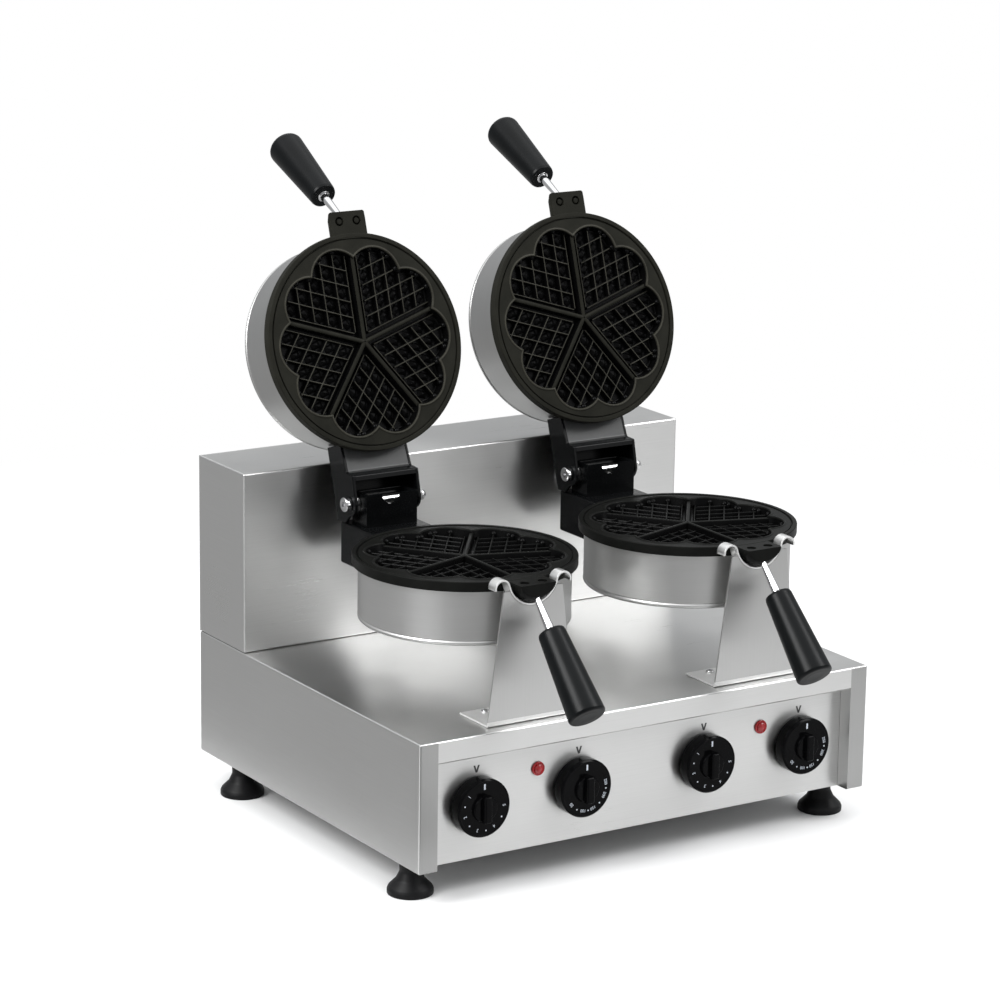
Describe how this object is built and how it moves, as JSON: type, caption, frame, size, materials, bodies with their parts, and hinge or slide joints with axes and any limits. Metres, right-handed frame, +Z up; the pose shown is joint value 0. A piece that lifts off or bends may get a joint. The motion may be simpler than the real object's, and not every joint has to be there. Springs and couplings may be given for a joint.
{
  "type": "double rotary waffle baker",
  "caption": "Countertop double waffle baker: two rotary irons with heart moulds on a steel cabinet with timer and thermostat knobs, lids open.",
  "frame": {"origin": "on the floor under the middle of the bounding box, lids open", "axes": "+Z up; the front with the knobs faces -Y; +X to the right seen from the front"},
  "size_m": [0.5278, 0.5967, 0.6581],
  "materials": {
    "stainless": "satin brushed stainless steel sheet",
    "cast_black": "cast plate with matt black non-stick coating",
    "hinge_black": "satin black painted metal",
    "bakelite": "satin black phenolic",
    "knob_black": "glossy black phenolic",
    "chrome": "bright chromium plating",
    "lamp_red": "glossy red lens",
    "rubber": "black rubber",
    "plain_steel": "plain steel",
    "ceramic": "off-white ceramic"
  },
  "bodies": {
    "base": {"base_cabinet": "stainless", "control_panel": "stainless", "bottom_plate": "plain_steel", "rear_housing": "stainless", "rear_cover": "stainless", "pivot_support": "plain_steel", "terminal_block": "ceramic", "cable_gland": "rubber", "foot_front_left": "rubber", "foot_front_right": "rubber", "foot_rear_left": "rubber", "foot_rear_right": "rubber", "timer_left": "plain_steel", "thermostat_left": "plain_steel", "indicator_lamp_left": "lamp_red", "pivot_bearing_left": "plain_steel", "front_bracket_left": "stainless", "cradle_left": "chrome", "timer_right": "plain_steel", "thermostat_right": "plain_steel", "indicator_lamp_right": "lamp_red", "pivot_bearing_right": "plain_steel", "front_bracket_right": "stainless", "cradle_right": "chrome"},
    "timer_dial_left": {"timer_knob_left": "knob_black"},
    "thermostat_dial_left": {"thermostat_knob_left": "knob_black"},
    "iron_left": {"lower_plate_left": "cast_black", "lower_casing_left": "stainless", "lower_element_left": "plain_steel", "hinge_bracket_left": "hinge_black", "pivot_shaft_left": "plain_steel", "lower_handle_rod_left": "chrome", "lower_grip_left": "bakelite", "hinge_pin_left": "chrome", "hinge_nut_left": "chrome"},
    "lid_left": {"upper_plate_left": "cast_black", "upper_casing_left": "stainless", "upper_element_left": "plain_steel", "upper_handle_rod_left": "chrome", "upper_grip_left": "bakelite", "hinge_arm_left": "hinge_black"},
    "timer_dial_right": {"timer_knob_right": "knob_black"},
    "thermostat_dial_right": {"thermostat_knob_right": "knob_black"},
    "iron_right": {"lower_plate_right": "cast_black", "lower_casing_right": "stainless", "lower_element_right": "plain_steel", "hinge_bracket_right": "hinge_black", "pivot_shaft_right": "plain_steel", "lower_handle_rod_right": "chrome", "lower_grip_right": "bakelite", "hinge_pin_right": "chrome", "hinge_nut_right": "chrome"},
    "lid_right": {"upper_plate_right": "cast_black", "upper_casing_right": "stainless", "upper_element_right": "plain_steel", "upper_handle_rod_right": "chrome", "upper_grip_right": "bakelite", "hinge_arm_right": "hinge_black"}
  },
  "joints": [
    {"name": "iron_flip_left", "type": "hinge", "parent": "base", "child": "iron_left", "pos_m": [-0.1305, -0.0686, 0.2976], "axis": [0, -1, 0], "range_deg": [0, 12]},
    {"name": "lid_hinge_left", "type": "hinge", "parent": "iron_left", "child": "lid_left", "pos_m": [-0.1305, 0.0884, 0.3146], "axis": [1, 0, 0], "range_deg": [0, 108]},
    {"name": "timer_turn_left", "type": "hinge", "parent": "base", "child": "timer_dial_left", "pos_m": [-0.188, -0.2021, 0.0873], "axis": [0, 1, 0], "range_deg": [0, 300]},
    {"name": "thermostat_turn_left", "type": "hinge", "parent": "base", "child": "thermostat_dial_left", "pos_m": [-0.073, -0.2021, 0.0873], "axis": [0, 1, 0], "range_deg": [0, 300]},
    {"name": "iron_flip_right", "type": "hinge", "parent": "base", "child": "iron_right", "pos_m": [0.1305, -0.0686, 0.2976], "axis": [0, 1, 0], "range_deg": [0, 12]},
    {"name": "lid_hinge_right", "type": "hinge", "parent": "iron_right", "child": "lid_right", "pos_m": [0.1305, 0.0884, 0.3146], "axis": [1, 0, 0], "range_deg": [0, 108]},
    {"name": "timer_turn_right", "type": "hinge", "parent": "base", "child": "timer_dial_right", "pos_m": [0.073, -0.2021, 0.0873], "axis": [0, 1, 0], "range_deg": [0, 300]},
    {"name": "thermostat_turn_right", "type": "hinge", "parent": "base", "child": "thermostat_dial_right", "pos_m": [0.188, -0.2021, 0.0873], "axis": [0, 1, 0], "range_deg": [0, 300]}
  ]
}
